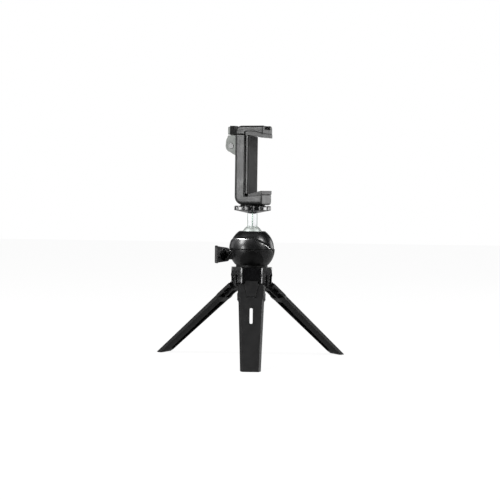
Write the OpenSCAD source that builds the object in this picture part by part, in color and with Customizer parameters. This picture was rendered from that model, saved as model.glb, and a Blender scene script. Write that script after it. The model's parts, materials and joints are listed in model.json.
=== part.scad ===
// Tabletop phone tripod: three folding legs, a hub, a ball head and a sliding-rail phone holder.
// The legs stand on z = 0 and the front leg points along -Y.

/* [Stance] */
// Height of the leg hinges above the floor
hinge_h = 73.5; // [65:0.5:95]
// Distance of each leg hinge from the hub's axis
hinge_r = 12.6; // [12:0.1:14]
// Slope of an open leg below the horizontal, in degrees
leg_slope = 40.6; // [38:0.1:50]

/* [Legs] */
// Depth of the hinge below the leg's outer face
hinge_depth = 3.7; // [3.5:0.1:4.2]
// Half width of the leg beside its hinge
head_half = 13.6; // [13:0.1:15]
// Half width of the leg below its shoulder step
shank_half = 12.2; // [11:0.1:12.8]
// Half width of the leg at its foot
foot_half = 9.3; // [7:0.1:10.5]
// Distance from the hinge to the shoulder's top edge
shoulder_top = 4.9; // [4.6:0.1:6]
// Distance from the hinge to the start of the shoulder step
step_start = 21.5; // [18:0.5:26]
// Length of the shoulder step
step_run = 4; // [2:0.5:6]
// Width of the bevel beside the outer face
bevel_w = 2.1; // [1:0.1:3]
// Depth of the bevel below the outer face
bevel_d = 3.8; // [3:0.1:4.5]
// Full depth of the leg
leg_depth = 6.3; // [5.8:0.1:7]
// Wall of the leg's outer face
leg_roof = 2; // [1.5:0.1:2.6]
// Wall of the leg's sides
leg_wall = 1.8; // [1.4:0.1:2.4]
// Width of the raised tongue at the hinge
knuckle_w = 11.4; // [10:0.1:12]
// Height of the raised tongue above the outer face
tongue_rise = 1.4; // [1:0.1:1.6]
// Distance from the hinge to the tongue's lower end
tongue_end = 22; // [16:0.5:24]
// Width of the tongue at its lower end
tongue_tip_w = 8; // [5:0.1:10]
// Distance from the hinge to the strap slot
slot_start = 35; // [30:0.5:45]
// Length of the strap slot
slot_len = 22; // [15:0.5:30]
// Width of the strap slot
slot_w = 2.8; // [2:0.1:4]
// Diameter of the hinge pins
pin_d = 2.4; // [2:0.1:2.6]

/* [Hub] */
// Distance from the hub's axis to each block's outer face
hub_r = 17.7; // [17.6:0.1:18.4]
// Width of each hinge block
block_w = 20.4; // [20:0.1:21.5]
// Height of the hub blocks above the hinge
hub_rise = 15.2; // [14:0.1:18]
// Radius of the hinge lugs
lug_r = 3.4; // [3:0.1:3.8]
// Diameter of the neck ring
ring_d = 30.4; // [28:0.1:31]
// Height of the neck ring
ring_h = 2.3; // [1.5:0.1:3]

/* [Ball head] */
// Diameter of the round housing
head_d = 44; // [42:0.5:46]
// Height of the housing's centre above its base
head_drop = 15.1; // [14:0.1:16]
// Height of the rim above the housing's centre
rim_rise = 17.1; // [16.5:0.1:17.5]
// Depth of the upper cap's surface below the collar
cap_step = 0.8; // [0.5:0.1:1]
// Diameter of the ball
ball_d = 20; // [19:0.1:20.5]
// Height of the ball's centre above the housing's centre
ball_rise = 12.9; // [12.5:0.1:13.4]
// Heading in which the stem drops through the notch
notch_turn = 55.5; // [40:0.5:70]
// Tilt of the crescent collar's sloping lip, in degrees
lip_tilt = 31.4; // [25:0.1:38]
// Height of the collar's level lip above the housing's centre
lip_rise = 10.3; // [8:0.1:12]
// Width of the hexagonal stem across its flats
stem_af = 9.5; // [8:0.1:10]
// Height of the stem's top above the ball's centre
stem_rise = 21.2; // [20:0.1:22]
// Diameter of the camera screw on the stem
stud_d = 6.35; // [5:0.05:7]

/* [Lock knob] */
// Heading of the lock knob
knob_turn = 195; // [185:1:205]
// Distance from the hub's axis to the knob's outer end
knob_reach = 35.9; // [34:0.1:38]
// Length of the knob
knob_l = 12.6; // [10:0.1:13]
// Height of the knob at its outer end
knob_w = 16.8; // [14:0.1:18]
// Height of the knob at its inner end
knob_neck_w = 12.9; // [10:0.1:14]
// Thickness of the knob
knob_t = 8.6; // [7.5:0.1:10]

/* [Lock disc] */
// Diameter of the scalloped lock disc
disc_d = 35.6; // [32:0.1:38]
// Height of the disc's scalloped edge
disc_h = 4.3; // [4:0.1:6]
// Depth of the cone below the disc's edge
disc_cone = 2.7; // [1.5:0.1:3]
// Number of scallops
scallops = 14; // [10:1:18]

/* [Phone holder] */
// Turn of the holder about the stem
holder_turn = -25; // [-180:1:180]
// Width of the holder
holder_w = 23; // [21:0.5:26]
// Depth of the holder from its back to the jaw tips
holder_depth = 29.6; // [27:0.1:34]
// Clear gap between the closed jaws
jaw_gap = 56; // [50:1:62]
// Thickness of the lower arm at the pad
arm_t = 8.5; // [8:0.1:11]
// Height of the upper arm above its underside
upper_t = 8.3; // [7.5:0.1:10]
// Height of the lower rubber wedge beside the pad
low_heel = 1.9; // [1.2:0.1:3]
// Height of the lower rubber wedge at the jaw's tip
low_tip = 5.1; // [3.5:0.1:7]
// Drop of the upper rubber wedge beside the pad
top_heel = 0.9; // [0.5:0.1:2]
// Drop of the upper rubber wedge at the jaw's tip
top_tip = 3.3; // [2:0.1:5]
// Radius of the holder's rounded outer edges
side_round = 3.4; // [2:0.1:4]
// Depth of the side walls from the holder's back
wall_depth = 11.2; // [10:0.1:13]
// Wall of the holder's sides
holder_wall = 1.8; // [1.5:0.1:2.5]
// Width of the rubber pad
pad_w = 19.3; // [17:0.1:20]
// Thickness of the rubber pad
pad_t = 1.2; // [0.8:0.1:2]
// Travel of the upper jaw
jaw_travel = 29; // [20:1:35]

/* [Jaw lock] */
// Height of the lever's pin above the holder's base
lever_rise = 56.4; // [45:0.1:60]
// Distance of the lever's pin behind the holder
lever_back = 6.8; // [6:0.1:8]
// Radius of the bracket's rounded ears
ear_r = 6; // [5:0.1:6.5]
// Width of the bracket
bracket_w = 8; // [7:0.1:10]
// Height of the lever's grip
grip_h = 8.4; // [6:0.1:10]
// Depth of the lever's grip
grip_d = 7.3; // [5:0.1:8]

/* [Hidden] */
$fn = 64;
over = 1;
fit_gap = 0.05;
face_gap = 0.1;
run_gap = 0.3;
fine_fn = 96;

open_turn = 90 - leg_slope;
hinge_top = hinge_h + hinge_depth * cos(leg_slope);
foot_r = hinge_r + hinge_depth * sin(leg_slope) + hinge_top / tan(leg_slope);
tip_blunt = 0.65;
leg_len = hinge_top / sin(leg_slope) + over;
foot_flat_half = foot_half - bevel_w;
foot_land = 6;
foot_rise = 25;
hub_y = (foot_r - tip_blunt - ((foot_r - tip_blunt) / 2 + foot_flat_half * cos(30))) / 2;
flange_in = 5.7;
flange_t = 1.6;
flange_lip = 0.7;
hollow_start = step_start + step_run + leg_roof;
heel_solid = 14.5;
hollow_end = leg_len - heel_solid;
rib_t = 1.2;
leg_ribs = 3;
knuckle_r = hinge_depth + tongue_rise;
tongue_fade_share = 0.4;
tongue_slope_share = 0.3;
tongue_flare = 1;
bump_r = 0.6;
pocket_len = 6;
pocket_h = 1.7;
pocket_in = 3;
pocket_start = 7.5;
pocket_pitch = 7.6;
pocket_drop = 3.1;
pocket_turn = 4;
pocket_side = 2.8;
pocket_shift = 1;
knuckle_inset = 1;

hub_top = hinge_h + hub_rise;
block_half = block_w / 2;
block_corner = 2.2;
lug_gap = 0.3;
window_d = 1.3;
window_h = 7.5;
window_w = 1.75;
window_inner = 9.6;
window_outer = 13.9;
edge_cut = 0.9;
arch_gap = 0.3;
arch_step = 0.2;
head_base = hub_top + ring_h;
head_z = head_base + head_drop;
head_r = head_d / 2;
cap_r = head_r - cap_step;
ball_z = head_z + ball_rise;
ball_r = ball_d / 2;
socket_gap = 0.25;
socket_r = ball_r + socket_gap;
rim_inner = 9.6;
seam_groove = 0.25;
lip_back = 0.37;

screw_d = 6;
screw_head_d = 10;
screw_head_h = 5;
screw_reach = 5.5;
screw_top = head_base + screw_reach;
washer_t = 1;
washer_d = 12;
counterbore = 8;
screw_socket_d = 5.8;

boss_r = 10.5;
boss_rise = 4;
boss_z = head_base + boss_rise;
boss_back = 11.5;
boss_proud = 0.25;

knob_drop = 5.4;
knob_z = head_z - knob_drop;
knob_corner = 1;
lock_d = 5;
collar_d = 10;
collar_reach = knob_reach - knob_l - run_gap;
knob_body_d = 10;
dimple_w = 8.2;
dimple_h = 10.4;
dimple_d = 1.3;
dimple_rim = 1;
flange_band = 1.5;
wedge_w = 7;
wedge_l = 9;
wedge_slope = 20;
wedge_top = 3.4;
wedge_low = 3.5;
seat_d = 13;
seat_drop = 6;
seat_top = ball_z - seat_drop;
seat_low = knob_z + lock_d / 2 + run_gap;

disc_gap = 0.25;
disc_z = ball_z + stem_rise + disc_gap + disc_cone;
disc_bore = stud_d / 2 + fit_gap;
disc_r = disc_d / 2;
scallop_r = 1.5;
scallop_d = 1.05;
disc_bevel = 0.8;
stud_reach = 7.4;
stud_top = disc_z + disc_h + stud_reach;

foot_t = 0.9;
holder_z = disc_z + disc_h + face_gap + foot_t;
foot_disc_r = 12;
screw_offset = 0.2;
screw_u = holder_depth / 2 + screw_offset;
arm_top = holder_z + arm_t;
jaw_z = arm_top + low_heel + jaw_gap + top_heel;
upper_top = jaw_z + upper_t;
low_corner = 8;
top_corner = 6.5;
side_top = jaw_z - run_gap;
half_w = holder_w / 2;
ramp_l = 7.8;
channel_back = 2;
ramp_u = holder_depth - ramp_l;
tip_bevel = 0.6;
tip_land = 1;
tip_rise = 1.6;
tip_seat = 0.3;
top_recess = 2.5;
heel_land = 0.8;
top_notch_w = 12.6;
top_notch_h = 3.3;
top_notch_d = 3;
plate_gap = 0.8;
plate_back = wall_depth + plate_gap;
plate_t = 2;
plate_front = plate_back + plate_t;
plate_inset = 1.2;
plate_half = half_w - plate_inset;
plate_top = jaw_z - top_heel - run_gap;
plate_bottom = arm_top + low_heel;
pad_margin = 0.8;
pad_h = plate_top - plate_bottom - 2 * pad_margin;
plate_side_t = 1;
rail_back = channel_back + run_gap;
rail_t = 5;
rail_front = rail_back + rail_t;
rail_half = half_w - holder_wall - run_gap;
rail_neck = 4.5;
rail_tab_h = 4;
rail_head_h = 3.4;
stop_gap = 0.5;
insert_r = 4.5;
insert_h = 6.8;
post_r = 1.8;
post_v = 6.6;
post_low = 4.6;
post_drop = 1.4;
plate_screw_d = 2;
plate_screw_head_d = 4;
plate_screw_head_h = 1.2;
plate_screw_l = 9;

lever_z = holder_z + lever_rise;
pivot_d = 2.5;
pivot_head_d = 5;
pivot_head_t = 0.7;
ear_t = 1.4;
base_low = 10.2;
base_t = 1;
rail_len = jaw_z + jaw_travel + rail_tab_h + stop_gap + post_drop + post_r - lever_z;
ear_shares = [[0.64, -0.77], [1, 0], [0.9, 1]];
ear_top_share = 0.55;
lever_gap = 0.2;
lever_half = bracket_w / 2 - ear_t - lever_gap;
lever_hub_r = 3.6;
lever_neck = 3.4;
grip_low = 10.9;
base_high = sqrt(pow(grip_low - run_gap, 2) - pow(ear_r * ear_top_share, 2));
grip_ribs = 4;
strip_t = 2;
stud_shoe_r = 2.4;

function mix(a, b, k) = a + (b - a) * k;
function ease(k) = k * k * (3 - 2 * k);
function leg_half(s) =
    s <= step_start ? head_half
    : s < step_start + step_run ? mix(head_half, shank_half, ease((s - step_start) / step_run))
    : mix(shank_half, foot_half, (s - step_start - step_run) / (leg_len - step_start - step_run));
function mirrored(side) = concat(side, [for (i = [len(side) - 1 : -1 : 0]) [-side[i][0], side[i][1]]]);
function leg_ring(s) =
    [for (p = mirrored([
        [leg_half(s) - bevel_w, 0],
        [leg_half(s), bevel_d],
        [leg_half(s) - flange_in, leg_depth]])) [p[0], p[1] - hinge_depth, -s]];
function hollow_ring(s) =
    [for (p = mirrored([
        [leg_half(s) - bevel_w - leg_wall / 2, leg_roof],
        [leg_half(s) - leg_wall, bevel_d - flange_t / 4],
        [leg_half(s) - flange_in - flange_lip, leg_depth - flange_t],
        [leg_half(s) - flange_in - flange_lip, leg_depth + over]])) [p[0], p[1] - hinge_depth, -s]];
function tongue_half(s) =
    mix(knuckle_w / 2 + tongue_flare, tongue_tip_w / 2, (s - shoulder_top) / (tongue_end - shoulder_top));
function tongue_ring(s) =
    let (top = -tongue_rise * mix(1, tongue_fade_share, s / tongue_end), low = leg_roof / 2)
    [for (p = mirrored([
        [tongue_half(s), top],
        [tongue_half(s) + tongue_slope_share * (low - top), low]])) [p[0], p[1] - hinge_depth, -s]];

module at_hub() { translate([0, hub_y, 0]) children(); }
module three_ways() { for (turn = [0, 120, 240]) rotate([0, 0, turn]) children(); }

// Closed solid through mirrored rings of points, lowest ring first, each counter-clockwise from above.
// Matching edges of neighbouring rings are parallel, so that every side is flat
module loft(rings) {
    n = len(rings[0]);
    last = (len(rings) - 1) * n;
    sides = [for (j = [0 : len(rings) - 2]) for (i = [0 : n - 1])
        [j * n + i, (j + 1) * n + i, (j + 1) * n + (i + 1) % n, j * n + (i + 1) % n]];
    ends = [for (i = [0 : n / 2 - 2]) each [
        [i, i + 1, n - 2 - i, n - 1 - i],
        [last + n - 1 - i, last + n - 2 - i, last + i + 1, last + i]]];
    polyhedron([for (r = rings) each r], concat(sides, ends));
}

module rounded_bar(w, l, r) {
    translate([-w / 2 + r, 0]) square([w - 2 * r, l]);
    translate([-w / 2, 0]) square([w, l - r]);
    for (side = [-1, 1]) translate([side * (w / 2 - r), l - r]) circle(r = r);
}

module cross_pin(d, w) { rotate([0, 90, 0]) cylinder(d = d, h = w, center = true); }

// Leg with its hinge at the origin, its outer face towards -Y and its foot straight down
module leg_shell() {
    low = step_start + step_run;
    difference() {
        loft([for (s = [leg_len, low, low - step_run / 4, low - step_run / 2, low - step_run * 3 / 4,
            step_start, shoulder_top]) leg_ring(s)]);
        loft([for (s = [hollow_end, hollow_start]) hollow_ring(s)]);
    }
    for (i = [1 : leg_ribs]) {
        s = mix(hollow_start, hollow_end, i / (leg_ribs + 1)) + slot_len / 4;
        half = leg_half(s) - flange_in + over;
        translate([-half, leg_roof - hinge_depth - fit_gap, -s])
            cube([2 * half, leg_depth - leg_roof - flange_t, rib_t]);
    }
}

module leg_pockets() {
    pocket_half = head_half - pocket_side;
    inner = knuckle_w / 2 + fit_gap;
    for (side = [-1, 1]) {
        translate([side * (inner + pocket_half) / 2 + side * run_gap, leg_depth / 2 + leg_roof - hinge_depth,
            pocket_shift - (shoulder_top + step_start) / 2])
            cube([pocket_half - inner, leg_depth, step_start - shoulder_top], center = true);
        for (i = [0, 1])
            translate([side * head_half, pocket_drop + i * pocket_h / 3 - hinge_depth + pocket_h / 2,
                -pocket_start - i * pocket_pitch - pocket_len / 2])
                rotate([-pocket_turn, 0, 0]) cube([2 * pocket_in, pocket_h, pocket_len], center = true);
    }
    translate([0, leg_depth / 2 + leg_roof - hinge_depth, -(step_start + shoulder_top * 2) / 2])
        cube([knuckle_w - 2 * leg_wall, leg_depth, step_start - shoulder_top * 2], center = true);
}

module leg_shape() {
    difference() {
        union() {
            difference() {
                leg_shell();
                leg_pockets();
            }
            rotate([0, 90, 0]) cylinder(r = knuckle_r, h = knuckle_w, center = true);
            translate([-knuckle_w / 2, -knuckle_r, -shoulder_top - over])
                cube([knuckle_w, knuckle_r + leg_depth - hinge_depth - knuckle_inset, shoulder_top + over]);
            loft([for (s = [tongue_end, shoulder_top]) tongue_ring(s)]);
            for (side = [-1, 1])
                translate([side * tongue_tip_w / 2, -hinge_depth - tongue_rise * tongue_fade_share,
                    -tongue_end])
                    rotate([90, 0, 0]) cylinder(r = bump_r, h = tongue_rise, center = true);
        }
        cross_pin(pin_d + 2 * fit_gap, knuckle_w + over);
        translate([0, 0, -slot_start - slot_len / 2]) rotate([90, 0, 0]) {
            cube([slot_w, slot_len - slot_w, 4 * leg_depth], center = true);
            for (end = [-1, 1]) translate([0, end * (slot_len - slot_w) / 2, 0])
                cylinder(d = slot_w, h = 4 * leg_depth, center = true);
        }
    }
}

// Open leg, with its foot cut level on the floor and eased at the tip and heel
module open_leg(turn) {
    land = foot_r - tip_blunt - foot_land;
    color([0.09, 0.09, 0.09]) at_hub() rotate([0, 0, turn]) difference() {
        translate([0, -hinge_r, hinge_h]) rotate([-open_turn, 0, 0]) leg_shape();
        translate([-head_half, -foot_r - over, -hinge_h]) cube([2 * head_half, foot_r, hinge_h]);
        translate([-head_half, -foot_r - 2 * over, -over])
            cube([2 * head_half, 2 * over + tip_blunt, hinge_depth]);
        translate([-head_half, -land, 0]) rotate([foot_rise, 0, 0]) translate([0, 0, -hinge_h])
            cube([2 * head_half, foot_r / 2, hinge_h]);
    }
}

module leg_front() open_leg(0);
module leg_right() open_leg(120);
module leg_left() open_leg(240);

module leg_pins() {
    color([0.75, 0.75, 0.77]) at_hub() three_ways()
        translate([0, -hinge_r, hinge_h]) cross_pin(pin_d, block_w - 2 * window_d);
}

module hub_block() {
    rotate([0, 0, 180]) translate([0, 0, hinge_h]) linear_extrude(hub_rise)
        rounded_bar(block_w, hub_r, block_corner);
    for (side = [-1, 1]) translate([side * (block_half + knuckle_w / 2 + lug_gap) / 2, -hinge_r, hinge_h])
        cross_pin(2 * lug_r, block_half - knuckle_w / 2 - lug_gap);
}

module hub_cuts() {
    pocket_w = knuckle_w + 2 * lug_gap;
    bevel = edge_cut * sqrt(2);
    translate([0, -hub_r, hub_top]) rotate([45, 0, 0]) cube([block_w + over, bevel, bevel], center = true);
    translate([0, -hinge_r, hinge_h]) {
        rotate([90, 0, 90]) linear_extrude(pocket_w, center = true) union() {
            circle(r = knuckle_r + arch_gap);
            rotate(-open_turn) translate([-knuckle_r - arch_gap - arch_step, -hub_r])
                square([knuckle_r + arch_gap + arch_step, hub_r]);
        }
        cross_pin(pin_d, block_w - 2 * window_d);
    }
    for (side = [-1, 1]) for (start = [window_inner, window_outer])
        translate([side * (block_half - window_d / 2) + side * over / 2, -start - window_w / 2,
            hinge_h - lug_r + (window_h + lug_r) / 2 - over / 2])
            cube([window_d + over, window_w, window_h + lug_r + over], center = true);
}

module hub() {
    color([0.03, 0.03, 0.035]) at_hub() difference() {
        three_ways() hub_block();
        three_ways() hub_cuts();
        translate([0, 0, hinge_h - over]) cylinder(d = screw_d + 2 * fit_gap, h = hub_rise + 2 * over);
        translate([0, 0, hinge_h - over]) cylinder(d = washer_d + 2 * run_gap, h = counterbore + over);
    }
}

module neck_ring() {
    notch_w = 1.6;
    notch_turn = -26;
    color([0.02, 0.02, 0.02]) at_hub() translate([0, 0, hub_top]) difference() {
        cylinder(d = ring_d, h = ring_h, $fn = fine_fn);
        translate([0, 0, -over]) cylinder(d = screw_d + 2 * fit_gap, h = ring_h + 2 * over);
        rotate([0, 0, notch_turn]) translate([-notch_w / 2, -ring_d / 2 - over, ring_h / 3])
            cube([notch_w, 2 * over, ring_h]);
    }
}

module head_screw() {
    low = hinge_h + counterbore - washer_t - screw_head_h;
    color([0.6, 0.6, 0.62]) at_hub() difference() {
        union() {
            translate([0, 0, low]) cylinder(d = screw_head_d, h = screw_head_h);
            translate([0, 0, low]) cylinder(d = screw_d, h = screw_top - low);
        }
        translate([0, 0, low - over]) cylinder(d = screw_socket_d, h = screw_head_h / 2 + over, $fn = 6);
    }
}

module screw_washer() {
    color([0.7, 0.7, 0.72]) at_hub() translate([0, 0, hinge_h + counterbore - washer_t]) difference() {
        cylinder(d = washer_d, h = washer_t);
        translate([0, 0, -over]) cylinder(d = screw_d + 2 * fit_gap, h = washer_t + 2 * over);
    }
}

module at_knob() { translate([0, 0, knob_z]) rotate([0, 0, knob_turn]) rotate([0, 90, 0]) children(); }

module housing_cavities() {
    translate([0, 0, ball_z]) sphere(r = socket_r, $fn = fine_fn);
    translate([0, 0, head_base - over]) cylinder(d = screw_d, h = screw_top - head_base + over);
    translate([0, 0, knob_z]) cylinder(d = seat_d + 2 * fit_gap, h = ball_z - knob_z);
    at_knob() cylinder(d = lock_d + 2 * fit_gap, h = collar_reach + over);
    translate([0, 0, knob_z]) rotate([0, 0, knob_turn])
        translate([-wedge_l / 2 - over, -wedge_w / 2 - face_gap, -wedge_low - face_gap])
        cube([wedge_l + 2 * over + face_gap, wedge_w + 2 * face_gap, wedge_low + wedge_top + over]);
}

module lower_shell() {
    color([0.06, 0.06, 0.06]) at_hub() difference() {
        union() {
            intersection() {
                translate([0, 0, head_z]) sphere(r = head_r, $fn = fine_fn);
                translate([0, 0, head_base]) cylinder(r = head_r + over, h = head_z - head_base);
            }
            at_knob() translate([0, 0, head_r / 2]) cylinder(d = collar_d, h = collar_reach - head_r / 2);
        }
        translate([0, 0, head_z - seam_groove]) difference() {
            cylinder(r = head_r + over, h = seam_groove + over);
            translate([0, 0, -over]) cylinder(r = head_r - seam_groove, h = seam_groove + 3 * over);
        }
        housing_cavities();
        boss_plug(face_gap);
    }
}

// Round plug from a flat seat out through the front of the housing, grown by a gap
module boss_plug(gap) {
    translate([0, gap - boss_back, boss_z]) rotate([90, 0, 0]) cylinder(r = boss_r + gap, h = head_r);
}

module front_boss_cap() {
    color([0.07, 0.07, 0.07]) at_hub() difference() {
        intersection() {
            boss_plug(0);
            translate([0, 0, head_z]) sphere(r = head_r + boss_proud, $fn = fine_fn);
        }
        translate([-head_r, -2 * head_r, head_base - head_r]) cube([2 * head_r, 2 * head_r, head_r]);
    }
}

module stem_notch() {
    notch_r = stem_af / cos(30) / 2 + run_gap;
    translate([0, 0, ball_z]) rotate([0, 0, notch_turn]) {
        rotate([0, 90, 0]) cylinder(r = notch_r, h = head_r + over);
        translate([0, -notch_r, 0]) cube([head_r + over, 2 * notch_r, head_r]);
    }
}

module upper_half() {
    translate([0, 0, head_z]) cylinder(r = head_r + over, h = rim_rise);
}

module collar_zone(gap) {
    translate([0, 0, head_z]) rotate([0, 0, notch_turn]) rotate([0, lip_tilt, 0])
        translate([-2 * head_r, -2 * head_r, lip_back - gap]) cube([4 * head_r, 4 * head_r, 2 * head_r]);
    translate([-2 * head_r, -2 * head_r, head_z + lip_rise - gap]) cube([4 * head_r, 4 * head_r, 2 * head_r]);
}

module crescent_collar() {
    color([0.06, 0.06, 0.06]) at_hub() difference() {
        intersection() {
            translate([0, 0, head_z]) sphere(r = head_r, $fn = fine_fn);
            upper_half();
        }
        translate([0, 0, head_z]) sphere(r = cap_r + face_gap / 2, $fn = fine_fn);
        collar_zone(0);
    }
}

module upper_cap() {
    color([0.05, 0.05, 0.05]) at_hub() difference() {
        intersection() {
            translate([0, 0, head_z]) sphere(r = cap_r, $fn = fine_fn);
            upper_half();
        }
        housing_cavities();
        stem_notch();
        translate([0, 0, ball_z]) cylinder(r = rim_inner, h = head_r);
    }
}

module ball_seat() {
    low = knob_z + wedge_top;
    color([0.85, 0.83, 0.78]) at_hub() difference() {
        translate([0, 0, seat_low]) cylinder(d = seat_d, h = seat_top - seat_low);
        translate([0, 0, ball_z]) sphere(r = ball_r + fit_gap, $fn = fine_fn);
        translate([0, 0, low + face_gap]) rotate([0, 0, knob_turn]) rotate([0, wedge_slope, 0])
            translate([-head_r, -head_r, -head_r]) cube([2 * head_r, 2 * head_r, head_r]);
    }
}

module wedge_nut() {
    color([0.72, 0.6, 0.3]) at_hub() translate([0, 0, knob_z]) rotate([0, 0, knob_turn]) difference() {
        translate([-wedge_l / 2, -wedge_w / 2, -wedge_low])
            cube([wedge_l, wedge_w, wedge_low + 2 * wedge_top]);
        translate([0, 0, wedge_top]) rotate([0, wedge_slope, 0]) translate([-head_r, -head_r, 0])
            cube([2 * head_r, 2 * head_r, head_r]);
        rotate([0, 90, 0]) cylinder(d = lock_d + 2 * fit_gap, h = 2 * wedge_l, center = true);
    }
}

module lock_screw() {
    color([0.7, 0.7, 0.72]) at_hub() at_knob() {
        translate([0, 0, -wedge_l / 2]) cylinder(d = lock_d, h = knob_reach - knob_l / 2 + wedge_l / 2);
    }
}

module knob_outline() {
    start = knob_reach - knob_l;
    band = knob_reach - flange_band;
    half = knob_w / 2;
    neck_half = knob_neck_w / 2;
    ease_in = knob_corner / 2;
    polygon([[start, knob_corner - neck_half], [start + knob_corner, -neck_half], [band, ease_in - half],
        [band, -half], [knob_reach - ease_in, -half], [knob_reach, ease_in - half],
        [knob_reach, half - ease_in], [knob_reach - ease_in, half], [band, half], [band, half - ease_in],
        [start + knob_corner, neck_half], [start, neck_half - knob_corner]]);
}

module diamond(w, h) { polygon([[-w / 2, 0], [0, -h / 2], [w / 2, 0], [0, h / 2]]); }

// Flat wing knob with a diamond thumb dimple in each face
module lock_knob() {
    mid = knob_reach - knob_l / 2 - flange_band / 2;
    color([0.08, 0.08, 0.08]) at_hub() translate([0, 0, knob_z]) rotate([0, 0, knob_turn]) difference() {
        intersection() {
            rotate([90, 0, 0]) linear_extrude(knob_t, center = true) knob_outline();
            union() {
                rotate([0, 90, 0]) cylinder(d = knob_body_d, h = knob_reach);
                rotate([90, 0, 0]) linear_extrude(knob_t - 2 * dimple_rim, center = true) knob_outline();
                rotate([90, 0, 0]) linear_extrude(knob_t, center = true) union() {
                    translate([mid, 0]) diamond(dimple_w + 3 * dimple_rim, dimple_h + 3 * dimple_rim);
                    translate([knob_reach - flange_band, -knob_w / 2]) square([flange_band, knob_w]);
                }
            }
        }
        for (side = [-1, 1]) translate([mid, side * knob_t / 2, 0]) rotate([90, 0, 0])
            linear_extrude(2 * dimple_d, center = true) diamond(dimple_w, dimple_h);
        rotate([0, 90, 0]) cylinder(d = lock_d, h = knob_reach - knob_l / 2);
    }
}

module ball() {
    color([0.85, 0.86, 0.87]) at_hub() translate([0, 0, ball_z]) sphere(r = ball_r, $fn = fine_fn);
}

module hex_stem() {
    color([0.85, 0.86, 0.87]) at_hub() translate([0, 0, ball_z]) rotate([0, 0, 30]) difference() {
        cylinder(d = stem_af / cos(30), h = stem_rise, $fn = 6);
        sphere(r = ball_r, $fn = fine_fn);
    }
}

module camera_screw() {
    color([0.8, 0.8, 0.82]) at_hub() translate([0, 0, ball_z + stem_rise])
        cylinder(d = stud_d, h = stud_top - ball_z - stem_rise);
}

module lock_disc() {
    color([0.04, 0.04, 0.04]) at_hub() translate([0, 0, disc_z]) difference() {
        rotate_extrude($fn = fine_fn) polygon([[0, -disc_cone], [stem_af / 2, -disc_cone],
            [disc_r - disc_bevel / 2, 0], [disc_r, disc_bevel / 2], [disc_r, disc_h - disc_bevel],
            [disc_r - disc_bevel, disc_h], [0, disc_h]]);
        translate([0, 0, -disc_cone - over]) cylinder(r = disc_bore, h = disc_h + disc_cone + 2 * over);
        for (i = [0 : scallops - 1]) rotate([0, 0, i * 360 / scallops - 90])
            translate([disc_r + scallop_r - scallop_d, 0, -over])
            cylinder(r = scallop_r, h = disc_h + 2 * over, $fn = 24);
    }
}

// Holder frame: x forward from the back, y across, with the stem's axis at screw_u
module at_holder() {
    at_hub() rotate([0, 0, holder_turn]) translate([-screw_u, 0, 0]) children();
}

module across(w) { rotate([90, 0, 0]) linear_extrude(w, center = true) children(); }

module holder_foot() {
    color([0.02, 0.02, 0.02]) at_hub() translate([0, 0, disc_z + disc_h + face_gap]) difference() {
        cylinder(r = foot_disc_r, h = foot_t, $fn = fine_fn);
        translate([0, 0, -over]) cylinder(r = insert_r + face_gap, h = foot_t + 2 * over);
    }
}

module thread_insert() {
    color([0.78, 0.65, 0.35]) at_hub() translate([0, 0, disc_z + disc_h + face_gap]) difference() {
        cylinder(r = insert_r, h = insert_h);
        translate([0, 0, -over]) cylinder(r = disc_bore, h = insert_h + 2 * over);
    }
}

module body_profile() {
    polygon([[0, holder_z + low_corner], [low_corner, holder_z + low_corner], [low_corner, holder_z],
        [holder_depth - tip_bevel, holder_z], [holder_depth, holder_z + tip_bevel],
        [holder_depth, arm_top + tip_rise], [ramp_u, arm_top], [wall_depth, arm_top],
        [wall_depth, side_top], [0, side_top]]);
    intersection() {
        translate([low_corner, holder_z + low_corner]) circle(r = low_corner);
        translate([0, holder_z]) square(low_corner);
    }
}

// What a rounded edge leaves of a square corner at the origin
module edge_waste() {
    difference() {
        translate([-side_round, -side_round]) square(side_round + over);
        translate([-side_round, -side_round]) circle(r = side_round);
    }
}

// Waste of both outer edges along the back, round the corner and along the arm; up is 1 for the upper jaw
module round_outside(edge_z, corner, up, back_l) {
    centre_z = edge_z - up * corner;
    for (side = [-1, 1]) {
        translate([0, side * half_w, up > 0 ? centre_z - back_l : centre_z])
            linear_extrude(back_l) rotate(side > 0 ? 90 : 180) edge_waste();
        translate([corner, side * half_w, edge_z]) rotate([90, 0, 90])
            linear_extrude(holder_depth - corner + over)
            rotate(up > 0 ? (side > 0 ? 0 : 90) : (side > 0 ? -90 : 180)) edge_waste();
        translate([corner, 0, centre_z]) rotate([90, 0, 0]) rotate([0, 0, up > 0 ? 90 : 180])
            rotate_extrude(angle = 90, $fn = fine_fn)
            translate([corner, side * half_w]) rotate(side > 0 ? 0 : -90) edge_waste();
    }
}

module at_posts() {
    for (side = [-1, 1]) for (z = [arm_top + post_low, lever_z - post_drop])
        translate([0, side * post_v, z]) rotate([0, 90, 0]) children();
}

module holder_body() {
    channel = half_w - holder_wall;
    color([0.3, 0.31, 0.31]) at_holder() difference() {
        union() {
            difference() {
                across(holder_w) body_profile();
                translate([channel_back, -channel, arm_top])
                    cube([wall_depth - channel_back + over, 2 * channel, upper_top - arm_top]);
            }
            translate([channel_back / 2, 0, 0]) at_posts()
                cylinder(r = post_r, h = plate_back - channel_back / 2);
        }
        at_posts() translate([0, 0, plate_front - plate_screw_l])
            cylinder(d = plate_screw_d, h = plate_screw_l);
        translate([screw_u, 0, holder_z - over])
            cylinder(r = insert_r, h = over - foot_t - face_gap + stud_reach + run_gap);
        translate([-over, -bracket_w / 2 + ear_t, lever_z - stud_shoe_r - face_gap])
            cube([channel_back + 2 * over, bracket_w - 2 * ear_t, 2 * (stud_shoe_r + face_gap)]);
        round_outside(holder_z, low_corner, -1, side_top - holder_z - low_corner + over);
    }
}

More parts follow.
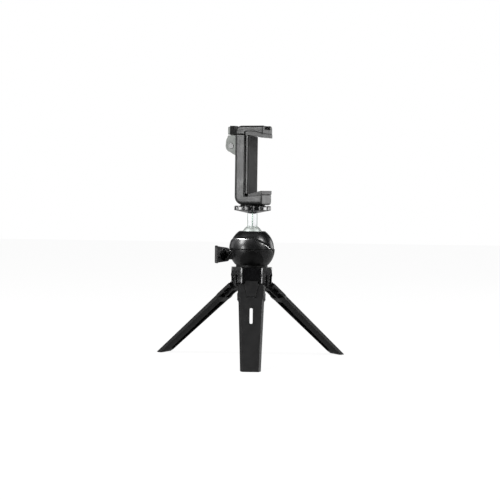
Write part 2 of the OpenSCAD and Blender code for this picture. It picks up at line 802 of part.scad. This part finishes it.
module pad_plate() {
    channel = half_w - holder_wall - face_gap;
    height = plate_top - plate_bottom;
    color([0.32, 0.33, 0.33]) at_holder() difference() {
        union() {
            translate([plate_back, -plate_half, plate_bottom]) cube([plate_t, 2 * plate_half, height]);
            for (side = [-1, 1])
                translate([rail_front + run_gap, side * (channel - plate_side_t / 2) - plate_side_t / 2,
                    plate_bottom])
                    cube([plate_back - rail_front, plate_side_t, height]);
        }
        at_posts() translate([0, 0, plate_back - over]) cylinder(d = plate_screw_d, h = plate_t + 2 * over);
        at_posts() translate([0, 0, plate_front - plate_screw_head_h])
            cylinder(d = plate_screw_head_d, h = plate_screw_head_h + over);
    }
}

module rubber_pad() {
    color([0.1, 0.1, 0.1]) at_holder()
        translate([plate_front, -pad_w / 2, plate_bottom + pad_margin]) cube([pad_t, pad_w, pad_h]);
}

module plate_screws() {
    color([0.6, 0.6, 0.62]) at_holder() at_posts() {
        translate([0, 0, plate_front - plate_screw_l]) cylinder(d = plate_screw_d, h = plate_screw_l);
        translate([0, 0, plate_front - plate_screw_head_h])
            cylinder(d = plate_screw_head_d, h = plate_screw_head_h);
    }
}

// Rubber wedge over the lower jaw, with a level land beside the pad
module lower_jaw_insert() {
    start = plate_front + pad_t + face_gap;
    color([0.07, 0.07, 0.07]) at_holder() across(holder_w) polygon([[start, arm_top],
        [start, arm_top + low_heel], [start + heel_land, arm_top + low_heel],
        [holder_depth - tip_land, arm_top + low_tip], [holder_depth, arm_top + low_tip],
        [holder_depth, arm_top + tip_rise], [ramp_u, arm_top]]);
}

module upper_profile() {
    polygon([[0, jaw_z], [wall_depth, jaw_z], [wall_depth, jaw_z + top_recess],
        [ramp_u, jaw_z + top_recess], [holder_depth, jaw_z + tip_seat], [holder_depth, upper_top - tip_bevel],
        [holder_depth - tip_bevel, upper_top], [top_corner, upper_top],
        [top_corner, upper_top - top_corner], [0, upper_top - top_corner]]);
    intersection() {
        translate([top_corner, upper_top - top_corner]) circle(r = top_corner);
        translate([0, upper_top - top_corner]) square(top_corner);
    }
}

// Upper jaw with a rail that is wide at both ends and narrow between the posts
module upper_jaw() {
    color([0.3, 0.31, 0.31]) at_holder() difference() {
        union() {
            across(holder_w) upper_profile();
            translate([rail_back, -rail_neck, jaw_z - rail_len])
                cube([rail_t, 2 * rail_neck, rail_len + over]);
            translate([rail_back, -rail_half, jaw_z - rail_len])
                cube([rail_t, 2 * rail_half, rail_tab_h]);
            translate([rail_back, -rail_half, jaw_z - rail_head_h])
                cube([rail_t, 2 * rail_half, rail_head_h + over]);
        }
        round_outside(upper_top, top_corner, 1, upper_t - top_corner + over);
        translate([holder_depth - top_notch_d, -top_notch_w / 2, upper_top - top_notch_h])
            cube([top_notch_d + over, top_notch_w, top_notch_h + over]);
    }
}

// Rubber wedge under the upper jaw
module upper_jaw_insert() {
    land = plate_front + pad_t + face_gap + heel_land;
    color([0.05, 0.05, 0.05]) at_holder() across(holder_w) polygon([[plate_back, jaw_z + top_recess],
        [plate_back, jaw_z - top_heel], [land, jaw_z - top_heel], [holder_depth - tip_land, jaw_z - top_tip],
        [holder_depth, jaw_z - top_tip], [holder_depth, jaw_z + tip_seat], [ramp_u, jaw_z + top_recess]]);
}

module bracket_outline() {
    translate([-lever_back, lever_z]) circle(r = ear_r);
    polygon(concat([[-base_t / 2, lever_z - base_low]],
        [for (share = ear_shares) [-lever_back - ear_r * share[0], lever_z + ear_r * share[1]]],
        [[-lever_back - ear_r * ear_top_share, lever_z + base_high], [-base_t / 2, lever_z + base_high]]));
}

module lock_bracket() {
    color([0.8, 0.82, 0.8]) at_holder() difference() {
        union() {
            for (side = [-1, 1]) translate([0, side * (bracket_w - ear_t) / 2, 0])
                across(ear_t) bracket_outline();
            translate([-base_t, -bracket_w / 2, lever_z - base_low])
                cube([base_t, bracket_w, base_low + base_high]);
        }
        translate([-lever_back, 0, lever_z]) rotate([90, 0, 0])
            cylinder(d = pivot_d, h = 2 * bracket_w, center = true);
        translate([-2 * over, -bracket_w / 2 + ear_t, lever_z - stud_shoe_r - face_gap])
            cube([4 * over, bracket_w - 2 * ear_t, 2 * (stud_shoe_r + face_gap)]);
    }
}

module lever_pin() {
    color([0.55, 0.56, 0.55]) at_holder() translate([-lever_back, 0, lever_z]) rotate([90, 0, 0]) {
        cylinder(d = pivot_d, h = bracket_w, center = true);
        for (side = [-1, 1]) translate([0, 0, side * (bracket_w + pivot_head_t) / 2])
            cylinder(d = pivot_head_d, h = pivot_head_t, center = true);
    }
}

module lock_lever() {
    grip_z = lever_z + grip_low;
    color([0.75, 0.77, 0.75]) at_holder() difference() {
        union() {
            translate([-lever_back, 0, lever_z]) rotate([90, 0, 0])
                cylinder(r = lever_hub_r, h = 2 * lever_half, center = true);
            translate([-lever_back - lever_neck / 2, -lever_half, lever_z])
                cube([lever_neck, 2 * lever_half, grip_low + grip_h / 2]);
            translate([-lever_back - grip_d / 2, -bracket_w / 2 + run_gap, grip_z])
                cube([strip_t, bracket_w - 2 * run_gap, grip_h - strip_t / 2]);
        }
        translate([-lever_back, 0, lever_z]) rotate([90, 0, 0])
            cylinder(d = pivot_d + 2 * fit_gap, h = 4 * lever_half, center = true);
    }
}

module lever_grip() {
    grip_z = lever_z + grip_low;
    pitch = (grip_d - strip_t) / grip_ribs;
    color([0.05, 0.05, 0.05]) at_holder() difference() {
        translate([-lever_back - grip_d / 2 + strip_t, -bracket_w / 2, grip_z])
            cube([grip_d - strip_t, bracket_w, grip_h]);
        translate([-lever_back - lever_neck / 2 - fit_gap, -lever_half, lever_z])
            cube([lever_neck + 2 * fit_gap, 2 * lever_half, grip_low + grip_h / 2 + fit_gap]);
        for (side = [-1, 1]) for (i = [1 : grip_ribs - 1])
            translate([-lever_back - grip_d / 2 + strip_t + i * pitch, side * bracket_w / 2,
                grip_z + grip_h / 2])
                rotate([0, 0, 45]) cube([pitch / 3, pitch / 3, grip_h + over], center = true);
    }
}

module clamp_stud() {
    reach = lever_back - lever_hub_r - run_gap;
    color([0.6, 0.6, 0.62]) at_holder() translate([-reach, 0, lever_z]) rotate([0, 90, 0])
        cylinder(r = stud_shoe_r, h = reach + channel_back + face_gap);
}

leg_front();
leg_right();
leg_left();
leg_pins();
hub();
neck_ring();
head_screw();
screw_washer();
lower_shell();
front_boss_cap();
crescent_collar();
upper_cap();
ball_seat();
wedge_nut();
lock_screw();
lock_knob();
ball();
hex_stem();
camera_screw();
lock_disc();
holder_foot();
thread_insert();
holder_body();
pad_plate();
rubber_pad();
plate_screws();
lower_jaw_insert();
upper_jaw();
upper_jaw_insert();
lock_bracket();
lever_pin();
lock_lever();
lever_grip();
clamp_stud();
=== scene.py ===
import json
import math

import bmesh
import bpy
from mathutils import Matrix, Vector


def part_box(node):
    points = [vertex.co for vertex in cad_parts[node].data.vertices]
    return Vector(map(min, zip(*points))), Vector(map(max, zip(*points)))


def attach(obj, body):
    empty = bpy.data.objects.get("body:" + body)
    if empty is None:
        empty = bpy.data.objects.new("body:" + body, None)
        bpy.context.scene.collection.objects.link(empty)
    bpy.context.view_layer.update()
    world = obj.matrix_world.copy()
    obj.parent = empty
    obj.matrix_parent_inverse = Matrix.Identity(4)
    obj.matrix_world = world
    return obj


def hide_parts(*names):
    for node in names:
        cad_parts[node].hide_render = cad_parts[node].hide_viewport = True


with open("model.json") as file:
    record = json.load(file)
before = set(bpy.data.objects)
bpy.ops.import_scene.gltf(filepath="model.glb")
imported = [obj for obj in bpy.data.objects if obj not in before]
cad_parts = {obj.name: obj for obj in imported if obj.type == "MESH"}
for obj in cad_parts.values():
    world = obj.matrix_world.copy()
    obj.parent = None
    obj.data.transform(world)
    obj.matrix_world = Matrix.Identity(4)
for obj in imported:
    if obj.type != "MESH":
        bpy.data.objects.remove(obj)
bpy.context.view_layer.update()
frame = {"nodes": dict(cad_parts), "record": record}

mm = 0.001
nodes = frame["nodes"]
subparts = frame["record"]["subparts"]
bodies = frame["record"]["behaviour"]["bodies"]

# Places taken from the model, in metres
ring_low, ring_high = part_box("neck_ring")
hub_axis_y = (ring_low.y + ring_high.y) / 2
shell_low, shell_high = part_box("lower_shell")
seam_height = shell_high.z
lip_height = seam_height + 10.3 * mm
lip_offset = 0.37 * mm
lip_tilt, notch_turn = math.radians(31.4), math.radians(55.5)
boss_radius = 10.5 * mm
boss_height = shell_low.z + 4 * mm
# Radii of the band along the stem's corners that is painted as a dark reflection
stem_corner_start, stem_corner_end = 5.12 * mm, 5.26 * mm
hub_corner_radius = 18 * mm


class Value:
    """A socket that takes part in sums."""

    def __init__(self, graph, socket):
        self.graph = graph
        self.socket = socket

    def sum_with(self, operation, other, swapped=False):
        pair = (other, self) if swapped else (self, other)
        return self.graph.node("ShaderNodeMath", {"operation": operation}, {0: pair[0], 1: pair[1]})

    def __add__(self, other): return self.sum_with("ADD", other)
    def __radd__(self, other): return self.sum_with("ADD", other)
    def __sub__(self, other): return self.sum_with("SUBTRACT", other)
    def __rsub__(self, other): return self.sum_with("SUBTRACT", other, True)
    def __mul__(self, other): return self.sum_with("MULTIPLY", other)
    def __rmul__(self, other): return self.sum_with("MULTIPLY", other)
    def __truediv__(self, other): return self.sum_with("DIVIDE", other)
    def __gt__(self, other): return self.sum_with("GREATER_THAN", other)
    def __lt__(self, other): return self.sum_with("LESS_THAN", other)
    def __pow__(self, other): return self.sum_with("POWER", other)
    def __abs__(self): return self.graph.node("ShaderNodeMath", {"operation": "ABSOLUTE"}, {0: self})
    def largest(self, other): return self.sum_with("MAXIMUM", other)


class Graph:
    """The nodes of one material or world."""

    def __init__(self, tree):
        self.tree = tree
        tree.nodes.clear()

    def node(self, kind, settings=None, inputs=None, output=0):
        made = self.tree.nodes.new(kind)
        for name, value in (settings or {}).items():
            setattr(made, name, value)
        for name, value in (inputs or {}).items():
            if isinstance(value, Value):
                self.tree.links.new(value.socket, made.inputs[name])
            elif value is not None:
                made.inputs[name].default_value = value
        return Value(self, made.outputs[output]) if len(made.outputs) else None

    def several(self, kind, names, inputs=None):
        """The outputs of one node that have the given names."""
        made = self.node(kind, {}, inputs).socket.node
        return [Value(self, made.outputs[name]) for name in names]

    def axes(self, vector):
        return self.several("ShaderNodeSeparateXYZ", "XYZ", {0: vector})

    def spot(self, kind="Object"):
        return self.node("ShaderNodeTexCoord", output=kind)

    def place(self, scale=(1, 1, 1), turn=(0, 0, 0), move=(0, 0, 0)):
        return self.node("ShaderNodeMapping", {}, {"Vector": self.spot(), "Scale": scale, "Rotation": turn,
                         "Location": move})

    def noise(self, size, detail=2.0, rough=0.5, scale=(1, 1, 1), move=(0, 0, 0)):
        """Noise with blobs of about the given size in millimetres."""
        return self.node("ShaderNodeTexNoise", {}, {"Vector": self.place(scale, move=move),
                         "Scale": 1 / (size * mm), "Detail": detail, "Roughness": rough})

    def spread(self, value, low, high, new_low=0.0, new_high=1.0):
        return self.node("ShaderNodeMapRange", {}, {"Value": value, "From Min": low, "From Max": high,
                         "To Min": new_low, "To Max": new_high})

    def blend(self, share, first, second):
        return self.node("ShaderNodeMix", {"data_type": "RGBA"}, {0: share, 6: first, 7: second}, output=2)

    def bump(self, height, depth, strength=1.0, under=None):
        return self.node("ShaderNodeBump", {}, {"Height": height, "Distance": depth * mm, "Strength": strength,
                         "Normal": under})

    def rounding(self, radius):
        return self.node("ShaderNodeBevel", {"samples": 6}, {"Radius": radius * mm})

    def worn_edges(self, radius):
        """About 1 on sharp edges: there the rounded normal leaves the true one."""
        plain = self.node("ShaderNodeNewGeometry", output="Normal")
        along = self.node("ShaderNodeVectorMath", {"operation": "DOT_PRODUCT"},
                          {0: plain, 1: self.rounding(radius)}, output="Value")
        return self.spread(1 - along, 0.02, 0.14)


def colour(r, g, b):
    return (r, g, b, 1)


def grey(tone, blue=0.0):
    return (tone, tone, tone + blue)


def finish_of(name, build):
    """A material whose Principled inputs come from build(graph)."""
    made = bpy.data.materials.new(name)
    made.use_nodes = True
    graph = Graph(made.node_tree)
    surface = graph.node("ShaderNodeBsdfPrincipled", {}, build(graph))
    graph.node("ShaderNodeOutputMaterial", {}, {"Surface": surface})
    return made


def housing_seams_and_shade(g):
    """1 in the housing's seams and 0 elsewhere: round the middle, round the boss and above the collar's lip. The
    housing finishes paint these seams black as a painted shadow.
    """
    x, y, z = g.axes(g.spot())
    y = y - hub_axis_y
    seam_full, seam_gone, ring_gone = 0.12 * mm, 0.3 * mm, 0.34 * mm
    lip_full, lip_gone, lip_start = 1.5 * mm, 2.2 * mm, -0.02 * mm
    middle = g.spread(abs(z - seam_height), seam_full, seam_gone, 1.0, 0.0)
    out = (x * x + (z - boss_height) * (z - boss_height)) ** 0.5
    ring = g.spread(abs(out - boss_radius), seam_full, ring_gone, 0.9, 0.0) * (y < 0)
    tilted = (x * (math.sin(lip_tilt) * math.cos(notch_turn)) + y * (math.sin(lip_tilt) * math.sin(notch_turn))
              + (z - seam_height) * math.cos(lip_tilt)) - lip_offset
    above = tilted.largest(z - lip_height)
    lip = g.spread(above, lip_full, lip_gone, 1.0, 0.0) * (above > lip_start)
    return middle.largest(ring).largest(lip)


def inner_corner_shade(g):
    """1 in inner corners, which the leg finish paints black as a painted shadow."""
    reach = 1.1 * mm
    openness = g.node("ShaderNodeAmbientOcclusion", {"samples": 6, "only_local": True}, {"Distance": reach},
                      output="AO")
    return g.spread(openness, 0.6, 0.93, 1.0, 0.0)


def painted_reflection_band(g):
    """1 along the six corners of the stem, where the chrome gets a painted dark reflection."""
    x, y, _ = g.axes(g.spot())
    y = y - hub_axis_y
    return g.spread((x * x + y * y) ** 0.5, stem_corner_start, stem_corner_end)


def moulded(name, dark, pale, rough, grain, depth, edge, speck=0.0, gloss=0.5, grooves_and_shade=None, clouds=1.0,
            groove_depth=0.9):
    """Moulded plastic: cloudy tone, fine surface grain, rounded edges rubbed a little paler. A mask function, if
    given, bumps in groove lines, makes them rough and paints them black as a painted shadow. Sizes are in mm.
    """
    def build(g):
        cloud = g.noise(9, 3, 0.6)
        dust = g.noise(1.3, 4, 0.65, move=(0.3, 0.1, 0.7))
        rubbed = g.worn_edges(edge)
        base = g.blend(g.spread(cloud, 0.35, 0.65), colour(*dark), colour(*pale))
        shiny = colour(*[min(1, tone * 1.5 + 0.012) for tone in pale])
        base = g.blend(rubbed * g.spread(dust, 0.4, 0.62) * 0.55, base, shiny)
        if speck:
            fleck = g.spread(g.noise(0.5, 1, 0.5, move=(0.5, 0.2, 0.1)), 0.68, 0.74) * speck
            base = g.blend(fleck, base, colour(*[tone + 0.1 for tone in pale]))
        uneven = g.spread(cloud, 0.3, 0.7, rough - 0.05 * clouds, rough + 0.06 * clouds)
        uneven = uneven + g.spread(dust, 0.45, 0.75, 0.0, 0.07 * clouds) - rubbed * 0.08
        normal = g.rounding(edge)
        if grooves_and_shade:
            groove_and_shade = grooves_and_shade(g)
            normal = g.bump(1 - groove_and_shade, groove_depth, under=normal)
            # Painted shadow: the base colour is made black in the groove lines
            base = g.blend(groove_and_shade, base, colour(0, 0, 0))
            uneven = uneven.largest(groove_and_shade)
        normal = g.bump(g.noise(grain), depth, under=normal)
        return {"Base Color": base, "Roughness": uneven, "Normal": normal, "Specular IOR Level": gloss}
    return finish_of(name, build)


def metal(name, dark, pale, rough, edge, brushed=(1, 1, 1), share=1.0, painted_reflection_colour=None):
    """Bare or plated metal with fine marks. A colour given for the stem's corners is painted there as a dark
    reflection.
    """
    def build(g):
        cloud = g.noise(5, 3, 0.6)
        marks = g.noise(0.25, scale=brushed)
        base = g.blend(g.spread(cloud, 0.35, 0.65), colour(*dark), colour(*pale))
        if painted_reflection_colour:
            # Painted reflection: the stem's corners get a darker base colour in place of the dark surroundings they
            # would mirror
            base = g.blend(painted_reflection_band(g), base, colour(*painted_reflection_colour))
        uneven = g.spread(cloud, 0.3, 0.7, rough - 0.02, rough + 0.03) + g.spread(marks, 0.3, 0.7, -0.02, 0.04)
        normal = g.bump(marks, 0.002, 0.6, g.rounding(edge))
        return {"Base Color": base, "Metallic": share, "Roughness": uneven, "Normal": normal}
    return finish_of(name, build)


def build_rubber(g):
    """Soft pad with a close woven pattern pressed into it."""
    weave_turn, weave_step = math.radians(25), 0.8 * mm
    _, across, up = g.axes(g.place(turn=(0, 0, weave_turn)))
    threads = [g.node("ShaderNodeMath", {"operation": "SINE"}, {0: way * (2 * math.pi / weave_step)})
               for way in (across + up, across - up)]
    weave = threads[0] * threads[1]
    dirt = g.noise(1.5, 4, 0.6)
    base = g.blend(g.spread(weave, -0.6, 0.9), colour(*grey(0.007)), colour(*grey(0.022)))
    base = g.blend(g.spread(dirt, 0.5, 0.75) * 0.25, base, colour(*grey(0.05, -0.002)))
    rough = g.spread(weave, -1, 1, 0.75, 0.55)
    normal = g.bump(weave * 0.8 + g.noise(0.15) * 0.4, 0.12, under=g.rounding(0.2))
    return {"Base Color": base, "Roughness": rough, "Normal": normal, "Specular IOR Level": 0.4}


# One finish for each material slot of the record
finishes = {
    # The legs' inner corners carry a painted shadow: black base colour
    "leg_black": moulded("leg_matte_black", grey(0.0025, 0.0001), grey(0.0045, 0.0002), rough=0.48, grain=0.22,
                         depth=0.02, edge=0.45, speck=0.1, gloss=0.3, grooves_and_shade=inner_corner_shade, groove_depth=0.4),
    "hub_black": moulded("hub_gloss_black", grey(0.0015, 0.0002), grey(0.0025, 0.0003), rough=0.14, grain=1.6,
                         depth=0.008, edge=0.7),
    "ring_black": moulded("ring_satin_black", grey(0.001), grey(0.002), rough=0.5, grain=0.4, depth=0.006, edge=0.2,
                          gloss=0.3),
    # The housing's seams carry a painted shadow: black base colour
    "housing_black": moulded("housing_satin_black", grey(0.0035, 0.0002), grey(0.0055, 0.0003), rough=0.27,
                             grain=0.3, depth=0.008, edge=0.25, grooves_and_shade=housing_seams_and_shade, clouds=0.35),
    "knob_black": moulded("knob_satin_black", grey(0.009, 0.0005), grey(0.013, 0.0005), rough=0.34, grain=0.3,
                          depth=0.01, edge=0.4),
    "disc_black": moulded("disc_gloss_black", grey(0.002, 0.0002), grey(0.004, 0.0004), rough=0.13, grain=1.2,
                          depth=0.004, edge=0.3, clouds=0.3),
    "holder_grey": moulded("holder_satin_grey", (0.007, 0.0072, 0.007), (0.0105, 0.0108, 0.0105), rough=0.34,
                           grain=0.3, depth=0.006, edge=0.8, gloss=0.46),
    "insert_black": moulded("insert_black", grey(0.006), grey(0.009), rough=0.4, grain=0.3, depth=0.008, edge=0.2),
    "grip_black": moulded("lever_grip_black", grey(0.003), grey(0.005), rough=0.45, grain=0.3, depth=0.01, edge=0.3,
                          gloss=0.16),
    "nylon": moulded("seat_nylon", (0.6, 0.58, 0.52), (0.72, 0.7, 0.64), rough=0.42, grain=0.5, depth=0.01,
                     edge=0.2),
    "rubber": finish_of("pad_rubber", build_rubber),
    # The chrome's corner colour is a painted dark reflection
    "chrome": metal("stem_chrome", (0.78, 0.79, 0.8), (0.86, 0.87, 0.88), rough=0.1, edge=0.5,
                    painted_reflection_colour=(0.26, 0.33, 0.29)),
    "steel": metal("screw_steel", grey(0.1), grey(0.16), rough=0.42, edge=0.15, brushed=(1, 1, 6)),
    "light_metal": metal("lock_light_metal", (0.09, 0.096, 0.09), (0.13, 0.137, 0.13), rough=0.5, edge=0.25,
                         brushed=(1, 1, 0.15), share=0.3),
    "brass": metal("insert_brass", (0.55, 0.4, 0.16), (0.7, 0.54, 0.26), rough=0.26, edge=0.15, brushed=(1, 1, 6)),
}

# Three pieces differ a little from the rest of their slot
# The boss cap's seams carry a painted shadow too
boss_black = moulded("boss_satin_black", grey(0.001), grey(0.002), rough=0.33, grain=0.3, depth=0.008, edge=0.25,
                     gloss=0.3, grooves_and_shade=housing_seams_and_shade, clouds=0.35)
jaw_grey = moulded("jaw_satin_grey", (0.005, 0.0052, 0.005), (0.008, 0.0083, 0.008), rough=0.34, grain=0.3,
                   depth=0.006, edge=0.8, gloss=0.36)
ball_satin = metal("ball_satin", (0.44, 0.47, 0.45), (0.52, 0.55, 0.53), rough=0.62, edge=0.3)


def dress(piece, finish):
    piece.data.materials.clear()
    piece.data.materials.append(finish)


def softened(name, width, segments=3, keep=None):
    """A copy of a CAD node with real rounded edges, that stands for it. The width is in mm."""
    weld, flat, sharp, crease = 2e-6, math.radians(0.6), math.radians(32), math.radians(35)
    source = nodes[name]
    shape = bmesh.new()
    shape.from_mesh(source.data)
    bmesh.ops.transform(shape, matrix=source.matrix_world, verts=shape.verts)
    bmesh.ops.remove_doubles(shape, verts=shape.verts, dist=weld)
    bmesh.ops.dissolve_limit(shape, angle_limit=flat, verts=shape.verts, edges=shape.edges,
                             use_dissolve_boundaries=False)
    edges = [edge for edge in shape.edges if len(edge.link_faces) == 2
             and edge.calc_face_angle_signed() > sharp and (keep is None or keep(edge))]
    bmesh.ops.bevel(shape, geom=edges, offset=width * mm, offset_type="OFFSET", segments=segments, profile=0.5,
                    affect="EDGES", clamp_overlap=False, material=-1, loop_slide=True)
    for face in shape.faces:
        face.smooth = True
    mesh = bpy.data.meshes.new(name + "_soft")
    shape.to_mesh(mesh)
    shape.free()
    mesh.set_sharp_from_angle(angle=crease)
    piece = bpy.data.objects.new(name + "_soft", mesh)
    bpy.context.scene.collection.objects.link(piece)
    even = piece.modifiers.new("even_normals", "WEIGHTED_NORMAL")
    even.keep_sharp = True
    even.weight = 100
    slot = next(part["material_slot"] for part in subparts if part["node"] == name)
    dress(piece, finishes[slot])
    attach(piece, next(body for body, names in bodies.items() if name in names))
    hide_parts(name)
    return piece


def outer_corner(edge):
    """True for the upright outer corners of the hub's blocks."""
    first, second = (vert.co for vert in edge.verts)
    way, spot = first - second, (first + second) / 2
    upright = abs(way.z) > 0.95 * way.length and way.length > 2 * mm
    return upright and math.hypot(spot.x, spot.y - hub_axis_y) > hub_corner_radius


for part in subparts:
    dress(nodes[part["node"]], finishes[part["material_slot"]])
dress(nodes["ball"], ball_satin)
dress(nodes["front_boss_cap"], boss_black)

collar = softened("crescent_collar", 0.6)
disc = softened("lock_disc", 0.3)
dress(softened("upper_jaw", 0.7), jaw_grey)
softened("holder_body", 1.1)
softened("lock_knob", 0.7)
for leg in ("leg_front", "leg_right", "leg_left"):
    softened(leg, 0.25)
softened("neck_ring", 0.3)
softened("holder_foot", 0.3)
hub = softened("hub", 1.65, segments=6, keep=outer_corner)
softened("lock_bracket", 0.3)
softened("lever_grip", 0.2)

# Camera, as in the photograph
scene = bpy.context.scene
camera_data = bpy.data.cameras.new("camera")
camera_data.sensor_width = 36
camera_data.lens = 104.8
camera_data.clip_start = 0.05
camera = bpy.data.objects.new("camera", camera_data)
scene.collection.objects.link(camera)
scene.camera = camera
camera_place = (-0.0019, hub_axis_y - 1.4, 0.1653)
camera_pitch, camera_roll = math.radians(90 - 2.47), math.radians(0.8)
camera.matrix_world = (Matrix.Translation(camera_place)
                       @ Matrix.Rotation(camera_pitch, 4, "X") @ Matrix.Rotation(camera_roll, 4, "Z"))

# Studio: the camera sees white, glossy surfaces see a narrow white wall behind, a dim top and dark sides
scene.view_settings.view_transform = "Standard"
world = bpy.data.worlds.new("studio")
scene.world = world
world.use_nodes = True
air = Graph(world.node_tree)
light_path = ("Is Camera Ray", "Is Glossy Ray", "Is Transmission Ray")
in_camera, in_gloss, through = air.several("ShaderNodeLightPath", light_path)
_, back, height = air.axes(air.spot("Generated"))
dark_side, dim_top, fill = 0.03, 0.5, 0.55
level = (1.0001 - height * height) ** 0.5
wall = air.spread(back / level, 0.94, 0.98, dark_side, 1.0) * air.spread(height, 0.25, 0.45, 1.0, dark_side)
backdrop = wall.largest(air.spread(height, 0.9, 0.97, 0.0, dim_top))
seen = in_camera.largest(in_gloss).largest(through)
strength = in_camera.largest(through) + in_gloss * (1 - in_camera) * backdrop + (1 - seen) * fill
sky = air.node("ShaderNodeBackground", {}, {"Color": colour(1, 1, 1), "Strength": strength})
air.node("ShaderNodeOutputWorld", {}, {"Surface": sky})

# Floor: nearly white for the camera, dark in front for glossy surfaces
floor_size = 6.0
floor_mesh = bpy.data.meshes.new("floor")
shape = bmesh.new()
bmesh.ops.create_grid(shape, x_segments=1, y_segments=1, size=floor_size / 2)
shape.to_mesh(floor_mesh)
shape.free()
floor = bpy.data.objects.new("floor", floor_mesh)
scene.collection.objects.link(floor)
floor_finish = bpy.data.materials.new("floor_white")
floor_finish.use_nodes = True
ground = Graph(floor_finish.node_tree)
in_camera, in_gloss, _ = ground.several("ShaderNodeLightPath", light_path)
_, back, _ = ground.axes(ground.spot())
floor_glow = ground.spread(back, -0.4, 0.1, 0.04, 0.4).largest(in_camera)
matte = ground.node("ShaderNodeBsdfDiffuse", {}, {"Color": colour(0.9, 0.9, 0.9)})
glow = ground.node("ShaderNodeEmission", {}, {"Color": colour(1, 1, 1), "Strength": floor_glow})
glow_share = (in_camera * 0.93).largest(in_gloss)
both = ground.node("ShaderNodeMixShader", {}, {0: glow_share, 1: matte, 2: glow})
ground.node("ShaderNodeOutputMaterial", {}, {"Surface": both})
dress(floor, floor_finish)

# Lamps stand round the housing
aim = Vector((0, hub_axis_y, 0.12))
lamp_distance = 1.2


def lamp(name, turn, rise, size, radiance, only=()):
    """An area lamp aimed at the housing, turned from the front towards +X and raised, in degrees.

    It lights everything, or only the given pieces.
    """
    turn, rise = math.radians(turn), math.radians(rise)
    out = Vector((math.sin(turn) * math.cos(rise), -math.cos(turn) * math.cos(rise), math.sin(rise)))
    data = bpy.data.lights.new(name, "AREA")
    data.shape = "RECTANGLE"
    data.size, data.size_y = size
    data.energy = radiance * math.pi * size[0] * size[1]
    made = bpy.data.objects.new(name, data)
    scene.collection.objects.link(made)
    place = aim + out * lamp_distance
    way = aim - place
    made.matrix_world = Matrix.Translation(place) @ way.to_track_quat("-Z", "Y").to_matrix().to_4x4()
    if only:
        lit = bpy.data.collections.new(name + "_lit")
        for piece in only:
            lit.objects.link(piece)
        made.light_linking.receiver_collection = lit


lamp("softbox_left", -62, 36, (0.42, 0.6), 20)
lamp("softbox_right", 62, 36, (0.34, 0.6), 20)
lamp("panel_left_low", -58, 11, (0.42, 0.56), 1.25)
lamp("panel_right_low", 60, 11, (0.34, 0.56), 1.25)
lamp("panel_left", -47, 3, (0.2, 0.3), 24)
lamp("panel_left_back", -120, 3, (0.4, 0.6), 1)
lamp("panel_right_back", 130, 3, (0.5, 0.6), 3)
lamp("strip_left", -94, -2, (0.95, 0.3), 18, only=(hub, disc))
lamp("strip_left_front", -34, -2, (0.2, 0.3), 6, only=(hub, disc))
lamp("strip_right", 94, -2, (0.95, 0.3), 18, only=(hub, disc))
lamp("lip_left", -114, 60, (0.55, 0.5), 170, only=(collar,))
lamp("lip_right", 132, 30, (0.9, 0.5), 32, only=(collar,))
lamp("hub_light_left", -60, 0, (0.4, 0.4), 0.9, only=(hub,))
lamp("hub_light_right", 60, 0, (0.4, 0.4), 0.9, only=(hub,))
